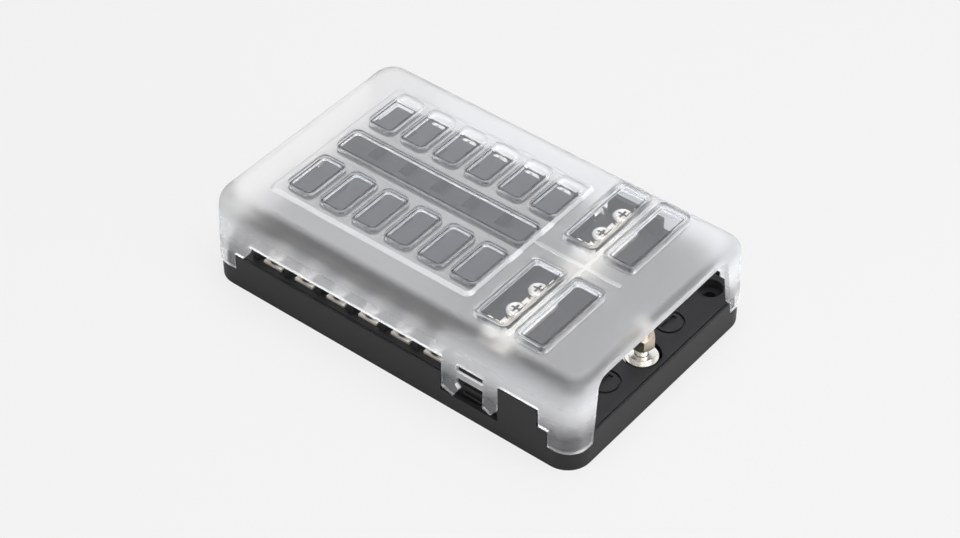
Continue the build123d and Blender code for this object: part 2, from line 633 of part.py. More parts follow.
# Negative bus: a link bar from the stud to two ears, and a round-ended tapped plate
# on each side of the bay, which rests on its ear.
EAR_OUTER_Y = EAR_Y + EAR_T / 2
with BuildPart() as negative_link_bar:
    with BuildSketch(Plane.XY.offset(BUS_LOW_Z)):
        span(PLATE_CENTRE_X - EAR_W / 2, NEGATIVE_STUD_X, -TAIL_R, TAIL_R)
        span(
            PLATE_CENTRE_X - EAR_W / 2,
            PLATE_CENTRE_X + EAR_W / 2,
            -EAR_OUTER_Y,
            EAR_OUTER_Y,
        )
        with Locations((NEGATIVE_STUD_X, 0)):
            Circle(TAIL_R)
            Circle(STUD_R + STUD_FIT, mode=Mode.SUBTRACT)
    extrude(amount=BUS_T)
    with BuildSketch(Plane.XY.offset(BUS_LOW_Z)):
        with Locations((PLATE_CENTRE_X, -EAR_Y), (PLATE_CENTRE_X, EAR_Y)):
            Rectangle(EAR_W, EAR_T)
    extrude(amount=BAY_TOP_Z - BUS_LOW_Z)
negative_link_bar.part.label = "negative_link_bar"

NEGATIVE_PLATES = {"front": -1, "rear": 1}
for name, side in NEGATIVE_PLATES.items():
    with BuildPart() as negative_bus_plate:
        plate_ys = sorted((side * PLATE_INNER_Y, side * PLATE_OUTER_Y))
        with BuildSketch(Plane.XY.offset(BAY_TOP_Z)):
            span(PLATE_LEFT_X, PLATE_LEFT_X + PLATE_W, *plate_ys, corner_r=PLATE_CORNER_R)
            with Locations(*[(PLATE_CENTRE_X, side * y) for y in BUS_SCREW_YS]):
                Circle(SCREW_R + SCREW_FIT, mode=Mode.SUBTRACT)
        extrude(amount=PLATE_T)
        chamfer(negative_bus_plate.faces().sort_by(Axis.Z)[-1].outer_wire().edges(), PLATE_CHAMFER)
    negative_bus_plate.part.label = f"negative_bus_plate_{name}"
    export_step(negative_bus_plate.part, f"parts/negative_bus_plate_{name}.step")


def pan_head_screw(x, y, seat_z, length):
    """A pan-head machine screw with a cross recess, its head's underside at seat_z."""
    with BuildSketch(Plane.XZ.offset(-y)) as profile:
        with BuildLine():
            Polyline(
                (x, seat_z - length),
                (x + SCREW_R - SCREW_TIP, seat_z - length),
                (x + SCREW_R, seat_z - length + SCREW_TIP),
                (x + SCREW_R, seat_z),
            )
            Line((x + SCREW_R, seat_z), (x + HEAD_R, seat_z))
            Line((x + HEAD_R, seat_z), (x + HEAD_R, seat_z + HEAD_H - 2 * HEAD_CROWN))
            ThreePointArc(
                (x + HEAD_R, seat_z + HEAD_H - 2 * HEAD_CROWN),
                (x + HEAD_R - HEAD_CROWN / 2, seat_z + HEAD_H - HEAD_CROWN / 2),
                (x + HEAD_R / 2, seat_z + HEAD_H),
            )
            Line((x + HEAD_R / 2, seat_z + HEAD_H), (x, seat_z + HEAD_H))
            Line((x, seat_z + HEAD_H), (x, seat_z - length))
        make_face()
    revolve(profile.sketch, axis=Axis((x, y, 0), (0, 0, 1)))
    with BuildSketch(Plane.XY.offset(seat_z + HEAD_H)) as cross:
        with Locations((x, y)):
            Rectangle(2 * RECESS_R, RECESS_W)
            Rectangle(RECESS_W, 2 * RECESS_R)
    extrude(cross.sketch, amount=-RECESS_DEPTH, taper=RECESS_TAPER, mode=Mode.SUBTRACT)


with BuildPart() as terminal_screws:
    for side in SIDES:
        for x in WAY_XS:
            pan_head_screw(x, side * SCREW_Y, TERMINAL_TOP_Z + TERMINAL_SCREW_LIFT, TERMINAL_SCREW_L)
terminal_screws.part.label = "terminal_screws"

with BuildPart() as negative_bus_screws:
    for side in SIDES:
        for y in BUS_SCREW_YS:
            pan_head_screw(PLATE_CENTRE_X, side * y, PLATE_TOP_Z + BUS_SCREW_LIFT, BUS_SCREW_L)
negative_bus_screws.part.label = "negative_bus_screws"


# Housing screws: self-tappers, driven up through the tray into the housing's posts.
with BuildPart() as housing_screws:
    with BuildSketch(Plane.XY.offset(TAPPER_SINK - TAPPER_HEAD_H)):
        with Locations(*TAPPER_SPOTS):
            Circle(TAPPER_HEAD_R)
    extrude(amount=TAPPER_HEAD_H)
    with BuildSketch(Plane.XY.offset(TAPPER_SINK)):
        with Locations(*TAPPER_SPOTS):
            Circle(TAPPER_R)
    extrude(amount=TAPPER_L)
housing_screws.part.label = "housing_screws"


# Studs: each has a hexagon head on the tray's pillar, a washer, a split spring washer
# and a nut that is run part of the way down.
WASHER_TOP_Z = BUS_TOP_Z + WASHER_T
for name, (stud_x, well_r) in STUDS.items():
    with BuildPart() as stud:
        with BuildSketch(Plane.XY.offset(BUS_LOW_Z - STUD_HEAD_H)):
            with Locations((stud_x, 0)):
                RegularPolygon(STUD_HEAD_AF / 2, 6, major_radius=False, rotation=30)
        extrude(amount=STUD_HEAD_H)
        with BuildSketch(Plane.XY.offset(BUS_LOW_Z)):
            with Locations((stud_x, 0)):
                Circle(STUD_R)
        extrude(amount=STUD_TOP_Z - BUS_LOW_Z)
        chamfer(stud.faces().sort_by(Axis.Z)[-1].edges(), STUD_CHAMFER)
    stud.part.label = f"{name}_stud"
    with BuildPart() as washer:
        with BuildSketch(Plane.XY.offset(BUS_TOP_Z)):
            with Locations((stud_x, 0)):
                Circle(washer_radius(well_r))
                Circle(STUD_R + 2 * STUD_FIT, mode=Mode.SUBTRACT)
        extrude(amount=WASHER_T)
    washer.part.label = f"{name}_washer"
    with BuildPart() as spring_washer:
        with BuildSketch(Plane.XY.offset(WASHER_TOP_Z)):
            with Locations((stud_x, 0)):
                Circle(SPRING_R)
                Circle(STUD_R + 2 * STUD_FIT, mode=Mode.SUBTRACT)
            with Locations((stud_x, SPRING_R)):
                Rectangle(SPRING_SPLIT, 2 * SPRING_R, rotation=SPRING_TURN, mode=Mode.SUBTRACT)
        extrude(amount=SPRING_T)
    spring_washer.part.label = f"{name}_spring_washer"
    with BuildPart() as nut:
        with BuildSketch(Plane.XY.offset(NUT_Z)):
            with Locations((stud_x, 0)):
                RegularPolygon(NUT_AF / 2, 6, major_radius=False, rotation=NUT_TURN)
        extrude(amount=NUT_H)
        with BuildSketch(Plane.XZ):
            with BuildLine():
                Polyline(
                    (stud_x, NUT_Z),
                    (stud_x + NUT_AF / 2, NUT_Z),
                    (stud_x + NUT_CORNER_R, NUT_Z + NUT_CHAMFER),
                    (stud_x + NUT_CORNER_R, NUT_Z + NUT_H - NUT_CHAMFER),
                    (stud_x + NUT_AF / 2, NUT_Z + NUT_H),
                    (stud_x, NUT_Z + NUT_H),
                    close=True,
                )
            make_face()
        revolve(axis=Axis((stud_x, 0, 0), (0, 0, 1)), mode=Mode.INTERSECT)
        with BuildSketch(Plane.XY.offset(NUT_Z)):
            with Locations((stud_x, 0)):
                Circle(STUD_R + SCREW_FIT)
        extrude(amount=NUT_H, mode=Mode.SUBTRACT)
    nut.part.label = f"{name}_nut"
    for piece in (stud, washer, spring_washer, nut):
        export_step(piece.part, f"parts/{piece.part.label}.step")


# Cover: one frosted moulding with drafted walls and rolled shoulders, a raised panel,
# raised clear windows, four corner legs, open ends and a clip on each long side.
SIDE_TANGENT_Z = COVER_TOP_Z - SIDE_SHOULDER_R
SHOULDER_STEPS = 6


def wall_inset(z, shoulder_r, inner):
    """How far the cover's wall stands in from the base's outline at a height."""
    top_z = COVER_TOP_Z - inner
    radius = shoulder_r - inner
    draft = (min(z, top_z - radius) - FOOT_LOW_Z) * math.tan(math.radians(COVER_DRAFT))
    rise = max(0.0, z - (top_z - radius))
    return inner + draft + radius - math.sqrt(max(0.0, radius**2 - rise**2))


def cover_outline(z, inner):
    """The cover's outline at a height, on its outer face, or that far inside it."""
    side_inset = wall_inset(z, SIDE_SHOULDER_R, inner)
    end_inset = wall_inset(z, END_SHOULDER_R, inner)
    RectangleRounded(
        LENGTH - 2 * end_inset,
        WIDTH - 2 * side_inset,
        max(COVER_CORNER_R - inner - COVER_CORNER_SHARE * (side_inset - inner), COVER_CORNER_MIN),
    )


def cover_body(inner, mode):
    """The cover's form: a drafted wall and a lofted shoulder, at a depth inside it."""
    top_z = COVER_TOP_Z - inner
    wall = []
    for z in (FOOT_LOW_Z, SIDE_TANGENT_Z):
        with BuildSketch(Plane.XY.offset(z)) as section:
            cover_outline(z, inner)
        wall.append(section.sketch)
    loft(wall, ruled=True, mode=mode)
    shoulder = []
    for step in range(SHOULDER_STEPS + 1):
        angle = math.radians(90 * step / SHOULDER_STEPS)
        z = SIDE_TANGENT_Z + (top_z - SIDE_TANGENT_Z) * math.sin(angle)
        with BuildSketch(Plane.XY.offset(z)) as section:
            cover_outline(z, inner)
        shoulder.append(section.sketch)
    loft(shoulder, mode=mode)


def windows(inset):
    """The windows' outlines, that far inside their edges, in the sketch that calls it."""
    for side in SIDES:
        window_ys = sorted((side * (WINDOW_INNER_Y + inset), side * (WINDOW_OUTER_Y - inset)))
        for x in WAY_XS:
            half_w = WINDOW_W / 2 - inset
            span(x - half_w, x + half_w, *window_ys, corner_r=WINDOW_R - inset)
    span(
        FIRST_WAY_X - WINDOW_W / 2 + inset,
        LAST_WAY_X + WINDOW_W / 2 - inset,
        -STRIP_HALF_Y + inset,
        STRIP_HALF_Y - inset,
        WINDOW_R - inset,
    )


def bus_windows(inset):
    """The four bus windows' outlines, that far inside their edges."""
    for side in SIDES:
        ys = sorted((side * (BUS_WINDOW_INNER_Y + inset), side * (BUS_WINDOW_OUTER_Y - inset)))
        left_xs = (BUS_WINDOW_LEFT_X + inset, CROSS_X - CROSS_GAP / 2 - inset)
        right_xs = (CROSS_X + CROSS_GAP / 2 + inset, BUS_WINDOW_RIGHT_X - inset)
        span(*left_xs, *ys, corner_r=BUS_WINDOW_R - inset)
        span(*right_xs, *ys, corner_r=BUS_WINDOW_R - inset)


CLIP_INNER_LEFT_X = CLIP_LEFT_X + CLIP_LEG_W
CLIP_INNER_RIGHT_X = CLIP_RIGHT_X - CLIP_LEG_W
UNDER_Z = FOOT_LOW_Z - OVERRUN

with BuildPart() as cover:
    cover_body(0.0, Mode.ADD)
    with BuildSketch(Plane.XY.offset(COVER_TOP_Z)):
        span(
            PANEL_LEFT_X - PANEL_RISE,
            PANEL_RIGHT_X + PANEL_RISE,
            -PANEL_HALF_Y - PANEL_RISE,
            PANEL_HALF_Y + PANEL_RISE,
            PANEL_CORNER_R + PANEL_RISE,
        )
    extrude(amount=PANEL_RISE, taper=PANEL_SLOPE)
    with BuildSketch(Plane.XY.offset(PANEL_TOP_Z)):
        windows(0.0)
    extrude(amount=WINDOW_RISE)
    with BuildSketch(Plane.XY.offset(COVER_TOP_Z)):
        bus_windows(0.0)
    extrude(amount=WINDOW_TOP_Z - COVER_TOP_Z)
    with BuildSketch(Plane.XY.offset(COVER_TOP_Z)):
        rib_left_x = PANEL_RIGHT_X + PANEL_RISE
        span(rib_left_x, BUS_WINDOW_RIGHT_X, -RIB_W / 2, RIB_W / 2)
        rib_xs = (CROSS_X - RIB_W / 2, CROSS_X + RIB_W / 2)
        span(*rib_xs, -BUS_WINDOW_OUTER_Y, BUS_WINDOW_OUTER_Y)
    extrude(amount=RIB_RISE)
    cover_body(COVER_WALL, Mode.SUBTRACT)
    with BuildSketch(Plane.XY.offset(COVER_TOP_Z - COVER_WALL)):
        span(
            PANEL_LEFT_X,
            PANEL_RIGHT_X,
            -PANEL_HALF_Y,
            PANEL_HALF_Y,
            PANEL_CORNER_R,
        )
    extrude(amount=PANEL_RISE, mode=Mode.SUBTRACT)
    with BuildSketch(Plane.XY.offset(COVER_TOP_Z - COVER_WALL)):
        windows(WINDOW_WALL)
        bus_windows(WINDOW_WALL)
    extrude(amount=WINDOW_TOP_Z - WINDOW_T - COVER_TOP_Z + COVER_WALL, mode=Mode.SUBTRACT)
    with BuildSketch(Plane.XZ):
        with BuildLine():
            Polyline(
                (-HALF_X - OVERRUN, UNDER_Z),
                (-HALF_X - OVERRUN, LEG_BOTTOM_Z),
                (LEFT_LEG_X, LEG_BOTTOM_Z),
                (LEFT_LEG_X, LEG_STEP_Z),
                (LEFT_STEP_X, LEG_STEP_Z),
            )
            ThreePointArc(
                (LEFT_STEP_X, LEG_STEP_Z),
                (
                    LEFT_STEP_X + LEFT_CURVE[0] * (LEFT_EDGE_X - LEFT_STEP_X),
                    LEG_STEP_Z + LEFT_CURVE[1] * (LOW_EDGE_Z - LEG_STEP_Z),
                ),
                (LEFT_EDGE_X, LOW_EDGE_Z),
            )
            Polyline(
                (LEFT_EDGE_X, LOW_EDGE_Z),
                (CLIP_LEFT_X, LOW_EDGE_Z),
                (CLIP_LEFT_X, FOOT_HIGH_Z),
                (CLIP_LEFT_X + FOOT_TURN, FOOT_LOW_Z),
                (CLIP_INNER_LEFT_X + HOOK_OUT, HOOK_Z),
                (CLIP_INNER_LEFT_X - HOOK_NECK, HOOK_NECK_Z),
                (CLIP_INNER_LEFT_X, CROSSBAR_LOW_Z),
                (CLIP_INNER_RIGHT_X, CROSSBAR_LOW_Z),
                (CLIP_INNER_RIGHT_X, RIGHT_FOOT_HIGH_Z),
                (CLIP_INNER_RIGHT_X + RIGHT_FOOT_TURN, RIGHT_FOOT_Z),
                (CLIP_RIGHT_X, RIGHT_CHAMFER_Z),
                (CLIP_RIGHT_X, BUS_EDGE_Z),
                (RIGHT_EDGE_X, BUS_EDGE_Z),
                (RIGHT_EDGE_X + RIGHT_DRAFT, LEG_STEP_Z),
                (RIGHT_STEP_X, LEG_STEP_Z),
                (RIGHT_STEP_X, LEG_BOTTOM_Z),
                (HALF_X + OVERRUN, LEG_BOTTOM_Z),
                (HALF_X + OVERRUN, UNDER_Z),
                (-HALF_X - OVERRUN, UNDER_Z),
            )
        make_face()
        span(CLIP_INNER_LEFT_X, CLIP_INNER_RIGHT_X, CROSSBAR_HIGH_Z, LOW_EDGE_Z)
    extrude(amount=HALF_Y, both=True, mode=Mode.SUBTRACT)
    relief_y = HALF_Y - wall_inset(CROSSBAR_LOW_Z, SIDE_SHOULDER_R, 0.0) - CROSSBAR_T
    with BuildSketch(Plane.XZ):
        span(CLIP_INNER_LEFT_X, CLIP_INNER_RIGHT_X, CROSSBAR_LOW_Z, LOW_EDGE_Z)
    extrude(amount=relief_y, both=True, mode=Mode.SUBTRACT)
    with BuildSketch(Plane.YZ) as end_cut:
        with BuildLine():
            Polyline(
                (-leg_edge_y(UNDER_Z), UNDER_Z),
                (-END_CUT_TOP_HALF_Y, END_CUT_TOP_Z),
                (END_CUT_TOP_HALF_Y, END_CUT_TOP_Z),
                (leg_edge_y(UNDER_Z), UNDER_Z),
                close=True,
            )
        make_face()
        fillet(end_cut.vertices().group_by(Axis.Y)[-1], END_CUT_R)
    extrude(amount=HALF_X, both=True, mode=Mode.SUBTRACT)
cover.part.label = "cover"

for piece in (
    base_tray,
    terminal_housing,
    positive_bus_bar,
    negative_link_bar,
    terminal_screws,
    negative_bus_screws,
    housing_screws,
    cover,
):
    export_step(piece.part, f"parts/{piece.part.label}.step")
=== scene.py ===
import math
import bpy
from mathutils import Matrix, Vector


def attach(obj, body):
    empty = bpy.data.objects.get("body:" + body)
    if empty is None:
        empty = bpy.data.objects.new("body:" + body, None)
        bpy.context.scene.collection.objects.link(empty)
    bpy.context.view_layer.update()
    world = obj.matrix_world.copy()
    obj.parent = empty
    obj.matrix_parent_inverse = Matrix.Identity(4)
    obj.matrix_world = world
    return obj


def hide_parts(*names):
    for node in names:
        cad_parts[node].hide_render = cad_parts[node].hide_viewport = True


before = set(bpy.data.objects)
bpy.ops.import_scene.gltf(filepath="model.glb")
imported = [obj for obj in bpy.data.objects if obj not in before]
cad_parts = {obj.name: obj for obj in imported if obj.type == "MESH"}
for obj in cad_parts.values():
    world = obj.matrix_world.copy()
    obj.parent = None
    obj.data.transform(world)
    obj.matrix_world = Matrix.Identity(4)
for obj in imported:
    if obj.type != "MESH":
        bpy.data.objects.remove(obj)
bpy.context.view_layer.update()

# Picture. The box stands on a plain pale floor and is seen from above its front right corner,
# with a long lens. Soft lights stand overhead, behind it, to its right and, faintly, in front,
# and the walls around are pale.
AZIMUTH = math.radians(38.75)
ELEVATION = math.radians(42.69)
ROLL = math.radians(-0.14)
DISTANCE = 0.931
AIM_RIGHT = 0.0009
AIM_UP = 0.0084
SENSOR = 36.0
FOCAL_PIXELS = 2566
PHOTO_WIDTH = 960
NEAR_CLIP = 0.01


def looking_down(azimuth, elevation, roll, distance):
    """The place and turn of something that looks at the origin from this far away."""
    turn = Matrix.Rotation(azimuth, 4, "Z") @ Matrix.Rotation(math.pi / 2 - elevation, 4, "X")
    return turn @ Matrix.Rotation(roll, 4, "Z") @ Matrix.Translation((0, 0, distance))


camera_data = bpy.data.cameras.new("camera")
camera_data.sensor_width = SENSOR
camera_data.lens = FOCAL_PIXELS / PHOTO_WIDTH * SENSOR
camera_data.clip_start = NEAR_CLIP
camera = bpy.data.objects.new("camera", camera_data)
bpy.context.collection.objects.link(camera)
aim = Matrix.Translation((AIM_RIGHT, AIM_UP, 0))
camera.matrix_world = looking_down(AZIMUTH, ELEVATION, ROLL, DISTANCE) @ aim
bpy.context.scene.camera = camera

view_settings = bpy.context.scene.view_settings
view_settings.view_transform = "Standard"

# Each light's way round, height, distance and size in metres, and power in watts.
SOFT_LIGHTS = {
    "overhead": (math.radians(75), math.radians(70), 0.9, 0.9, 6.5),
    "from_behind": (math.radians(212), math.radians(46), 1.3, 1.3, 5.2),
    "from_the_right": (math.radians(100), math.radians(30), 1.3, 0.8, 6.0),
    "from_the_front": (math.radians(-20), math.radians(25), 1.3, 0.5, 1.8),
}
for name, (azimuth, elevation, away, size, power) in SOFT_LIGHTS.items():
    light_data = bpy.data.lights.new(name, "AREA")
    light_data.shape = "SQUARE"
    light_data.size = size
    light_data.energy = power
    light = bpy.data.objects.new(name, light_data)
    bpy.context.collection.objects.link(light)
    light.matrix_world = looking_down(azimuth, elevation, 0, away)


BUMP_DISTANCE = 0.0001


class Value:
    """A socket in a node tree. Arithmetic on it adds Math nodes."""

    def __init__(self, finish, socket):
        self.finish = finish
        self.socket = socket

    def maths(self, operation, *terms):
        return self.finish.node("ShaderNodeMath", {"operation": operation}, dict(enumerate(terms)))

    def __add__(self, other):
        return self.maths("ADD", self, other)

    def __sub__(self, other):
        return self.maths("SUBTRACT", self, other)

    def __rsub__(self, other):
        return self.maths("SUBTRACT", other, self)

    def __mul__(self, other):
        return self.maths("MULTIPLY", self, other)

    def __lt__(self, other):
        return self.maths("LESS_THAN", self, other)

    def __gt__(self, other):
        return self.maths("GREATER_THAN", self, other)

    def __abs__(self):
        return self.maths("ABSOLUTE", self)

    def at_least(self, other):
        return self.maths("MAXIMUM", self, other)

    def at_most(self, other):
        return self.maths("MINIMUM", self, other)

    __radd__ = __add__
    __rmul__ = __mul__


class Finish:
    """A material that is built node by node."""

    def __init__(self, name):
        self.material = bpy.data.materials.new(name)
        self.material.use_nodes = True
        self.tree = self.material.node_tree
        self.tree.nodes.clear()

    def node(self, kind, settings=None, sockets=None, output=0):
        """Adds a node with its settings first, then the values and links of its sockets."""
        node = self.tree.nodes.new(kind)
        for name, setting in (settings or {}).items():
            setattr(node, name, setting)
        for name, value in (sockets or {}).items():
            if isinstance(value, Value):
                self.tree.links.new(value.socket, node.inputs[name])
            else:
                node.inputs[name].default_value = value
        return Value(self, node.outputs[output])

    def place(self):
        """The point's x, y and z on the piece, in metres."""
        split = self.node("ShaderNodeSeparateXYZ", {}, {"Vector": self.here()})
        return [Value(self, split.socket.node.outputs[axis]) for axis in "XYZ"]

    def here(self):
        return self.node("ShaderNodeTexCoord", {}, {}, "Object")

    def noise(self, scale, detail=2.0, roughness=0.5):
        """A soft random pattern from 0 to 1 with this many grains to the metre."""
        sockets = {"Vector": self.here(), "Scale": scale, "Detail": detail, "Roughness": roughness}
        return self.node("ShaderNodeTexNoise", {}, sockets)

    def rough_height(self, height, strength):
        """A normal bent by a pattern of heights on the surface."""
        sockets = {"Height": height, "Strength": strength, "Distance": BUMP_DISTANCE}
        return self.node("ShaderNodeBump", {}, sockets)

    def between(self, share, low, high):
        """A colour that runs from low to high with share."""
        low, high = (end if isinstance(end, Value) else (*end, 1) for end in (low, high))
        sockets = {0: share, 6: low, 7: high}
        return self.node("ShaderNodeMix", {"data_type": "RGBA"}, sockets, 2)

    def surface(self, shader):
        output = self.tree.nodes.new("ShaderNodeOutputMaterial")
        self.tree.links.new(shader.socket, output.inputs["Surface"])
        return self.material


def mix_shaders(finish, share, first, second):
    return finish.node("ShaderNodeMixShader", {}, {0: share, 1: first, 2: second})


BACKDROP = (0.873, 0.873, 0.873, 1)
WALL_LIGHT = 0.36
MIRRORED_WALLS = 0.9
world = bpy.data.worlds.new("pale walls")
world.use_nodes = True
bpy.context.scene.world = world
walls = world.node_tree.nodes["Background"]
walls.inputs["Color"].default_value = BACKDROP
walls.inputs["Strength"].default_value = WALL_LIGHT
bare_walls = world.node_tree.nodes.new("ShaderNodeBackground")
bare_walls.inputs["Color"].default_value = BACKDROP
seen = world.node_tree.nodes.new("ShaderNodeLightPath")
either = world.node_tree.nodes.new("ShaderNodeMixShader")
looked_at = world.node_tree.nodes.new("ShaderNodeMath")
looked_at.operation = "MULTIPLY_ADD"
looked_at.use_clamp = True
looked_at.inputs[1].default_value = MIRRORED_WALLS
world.node_tree.links.new(seen.outputs["Is Glossy Ray"], looked_at.inputs[0])
world.node_tree.links.new(seen.outputs["Is Camera Ray"], looked_at.inputs[2])
world.node_tree.links.new(looked_at.outputs[0], either.inputs[0])
world.node_tree.links.new(walls.outputs[0], either.inputs[1])
world.node_tree.links.new(bare_walls.outputs[0], either.inputs[2])
world_output = world.node_tree.nodes["World Output"]
world.node_tree.links.new(either.outputs[0], world_output.inputs["Surface"])

FLOOR_SIZE = 12
FLOOR_SHADOW = 0.12
bpy.ops.object.select_all(action="DESELECT")
bpy.ops.mesh.primitive_plane_add(size=FLOOR_SIZE)
floor = bpy.context.object
floor.name = "floor"
pale = Finish("pale floor")
lit = pale.node("ShaderNodeBsdfDiffuse", {}, {"Color": BACKDROP})
even = pale.node("ShaderNodeEmission", {}, {"Color": BACKDROP})
straight = pale.node("ShaderNodeLightPath", {}, {}, "Is Camera Ray")
through = pale.node("ShaderNodeLightPath", {}, {}, "Is Transmission Ray")
evenness = straight.at_least(through) * (1 - FLOOR_SHADOW)
floor.data.materials.append(pale.surface(mix_shaders(pale, evenness, lit, even)))


# Base tray and terminal housing. Both are injection moulded in black nylon with a fine satin
# grain; the housing drops inside the tray's lip, and small radii soften every moulded edge.
MM = 0.001
BLACK = (0.012, 0.012, 0.013)
BLACK_PALE = (0.018, 0.018, 0.019)
CLOUDS_PER_METRE = 55
GRAINS_PER_METRE = 700
BLACK_EDGE = 0.25 * MM
EDGE_STEPS = 2
SHARP = math.radians(30)
FLAT = math.radians(1.0)
SAME_POINT = 1e-6


def black_plastic():
    finish = Finish("black moulded plastic")
    cloud = finish.noise(CLOUDS_PER_METRE, 3)
    sockets = {
        "Base Color": finish.between(cloud, BLACK, BLACK_PALE),
        "Roughness": cloud * 0.12 + 0.46,
        "Normal": finish.rough_height(finish.noise(GRAINS_PER_METRE), 0.04),
        "Specular IOR Level": 0.22,
    }
    return finish.surface(finish.node("ShaderNodeBsdfPrincipled", {}, sockets))


def eased_copy(node, radius, edge_slot=-1):
    """A copy of a moulded piece with a small radius on every edge, to ride in its place."""
    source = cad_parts[node]
    piece = bpy.data.objects.new(node + "_moulding", source.data.copy())
    bpy.context.collection.objects.link(piece)
    bpy.ops.object.select_all(action="DESELECT")
    bpy.context.view_layer.objects.active = piece
    piece.select_set(True)
    piece.data.materials.clear()
    bpy.ops.object.mode_set(mode="EDIT")
    bpy.ops.mesh.select_all(action="SELECT")
    bpy.ops.mesh.remove_doubles(threshold=SAME_POINT)
    bpy.ops.mesh.dissolve_limited(angle_limit=FLAT)
    bpy.ops.object.mode_set(mode="OBJECT")
    bevel = piece.modifiers.new("edges", "BEVEL")
    bevel.width = radius
    bevel.segments = EDGE_STEPS
    bevel.limit_method = "ANGLE"
    bevel.angle_limit = SHARP
    bevel.use_clamp_overlap = True
    bevel.material = edge_slot
    bpy.ops.object.modifier_apply(modifier=bevel.name)
    bpy.ops.object.shade_smooth_by_angle(angle=SHARP)
    even = piece.modifiers.new("flat faces stay flat", "WEIGHTED_NORMAL")
    even.mode = "FACE_AREA"
    even.weight = 100
    even.keep_sharp = True
    bpy.ops.object.modifier_apply(modifier=even.name)
    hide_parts(node)
    return piece


black = black_plastic()
for node in ("base_tray", "terminal_housing"):
    moulding = eased_copy(node, BLACK_EDGE)
    moulding.data.materials.append(black)
    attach(moulding, "base")


# Terminals, bus bars and bus plates. They are stamped from sheet and nickel plated, which leaves
# a soft warm shine. The terminals keep a matter plating than the bars and plates.
NICKEL = (0.93, 0.89, 0.82)
NICKEL_DULL = (0.78, 0.74, 0.67)
NICKEL_ROUGHNESS = 0.38
STAINS_PER_METRE = 180
MARKS_PER_METRE = 2400


def plated_metal(name, bright, dull, roughness, metallic=1.0):
    finish = Finish(name)
    cloud = finish.noise(STAINS_PER_METRE, 3)
    sockets = {
        "Base Color": finish.between(cloud, dull, bright),
        "Metallic": metallic,
        "Roughness": cloud * 0.15 + roughness,
        "Normal": finish.rough_height(finish.noise(MARKS_PER_METRE), 0.08),
    }
    return finish.surface(finish.node("ShaderNodeBsdfPrincipled", {}, sockets))


def give_plating(prefixes, suffixes, plating):
    """Puts a plating on every CAD node whose name starts or ends so."""
    for name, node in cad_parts.items():
        if name.startswith(prefixes) or name.endswith(suffixes):
            node.data.materials.clear()
            node.data.materials.append(plating)


bright_nickel = plated_metal("nickel plate", NICKEL, NICKEL_DULL, NICKEL_ROUGHNESS)
matte_nickel = plated_metal("matte nickel plate", NICKEL, NICKEL_DULL, NICKEL_ROUGHNESS, 0.5)
give_plating(("output_terminal",), (), matte_nickel)
give_plating(("negative_bus_plate",), ("_bar",), bright_nickel)


# Screws, studs, washers and nuts. They are turned steel, nickel plated after the threads are
# cut, and the nuts' plating is warmer and less bright than the rest.
SCREW_NICKEL = (0.80, 0.78, 0.74)
SCREW_DULL = (0.60, 0.57, 0.53)
WARM_NICKEL = (0.60, 0.53, 0.44)
WARM_DULL = (0.42, 0.36, 0.29)
screw_plating = plated_metal("screw plating", SCREW_NICKEL, SCREW_DULL, 0.16)
nut_plating = plated_metal("nut plating", WARM_NICKEL, WARM_DULL, 0.24)
give_plating((), ("screws", "stud", "washer"), screw_plating)
give_plating((), ("nut",), nut_plating)


# Cover: moulded in clear plastic and frosted by its mould's grain, apart from the raised windows,
# whose tops are polished. The rear windows are frosted past the blocks under them. The cover's
# edges, rims and ribs look white from painted light given as emission, the windows carry a faint
# painted reflection, painted light raises the milky share on the top flats, panel sides, lower
# wall and right corner, and painted shade tints the upper left end darker.
WAYS = 6
PITCH = 14.85 * MM
ROW_CENTRE = -18.375 * MM
WAY_WINDOW = (22.15 * MM, 5.6 * MM, 10.35 * MM)
STRIP_WINDOW = (42.7 * MM, 6.2 * MM)
NEAR_BUS_X = 38.72 * MM
FAR_BUS_X = 55.78 * MM
NEAR_BUS_WINDOW = (24.8 * MM, 6.3 * MM, 16.9 * MM)
FAR_BUS_WINDOW = (24.8 * MM, 5.9 * MM, 16.9 * MM)
WINDOW_R = 2.7 * MM
BUS_WINDOW_R = 2.0 * MM
REAR_FROST = 28.6 * MM
PANEL_END = 25.8 * MM
PANEL_STEP = 1.4 * MM
COVER_UNDERSIDE = 37.6 * MM
COVER_TOP = 38.95 * MM
RIB_TOP = 39.6 * MM
PANEL_TOP = 40.1 * MM
COVER_EDGE = 0.3 * MM
PAINTED_GLOW_SLOT = 1
FROST = 0.42
POLISH = 0.05
# Emission colours: a faint painted reflection for the windows, and painted white light for the
# rims and ribs.
WINDOW_PAINTED_REFLECTION = (0.035, 0.038, 0.044)
PAINTED_RIM_GLOW = (0.78, 0.79, 0.80)
NO_LIGHT = (0, 0, 0)
# The clear plastic's own tint, and a darker tint that paints shade on the upper part of the left
# end.
CLEAR_PAINTED_SHADE = (0.83, 0.825, 0.815)
CLEAR_TINT = (0.925, 0.935, 0.95)
MILK = (0.88, 0.885, 0.90, 1)
LET_THROUGH = (0.90, 0.905, 0.91, 1)


def rounded(x, y, half_x, half_y, radius):
    """How far a point is outside a rounded rectangle about 0, 0."""
    out_x = (abs(x) - (half_x - radius)).at_least(0)
    out_y = (abs(y) - (half_y - radius)).at_least(0)
    squares = out_x * out_x + out_y * out_y
    return squares.maths("SQRT", squares) - radius


def mirrored_window(x, y, window, radius):
    """How far a point is outside a window, or outside its mirror image across the length."""
    centre_y, half_x, half_y = window
    return rounded(x, abs(y) - centre_y, half_x, half_y, radius)


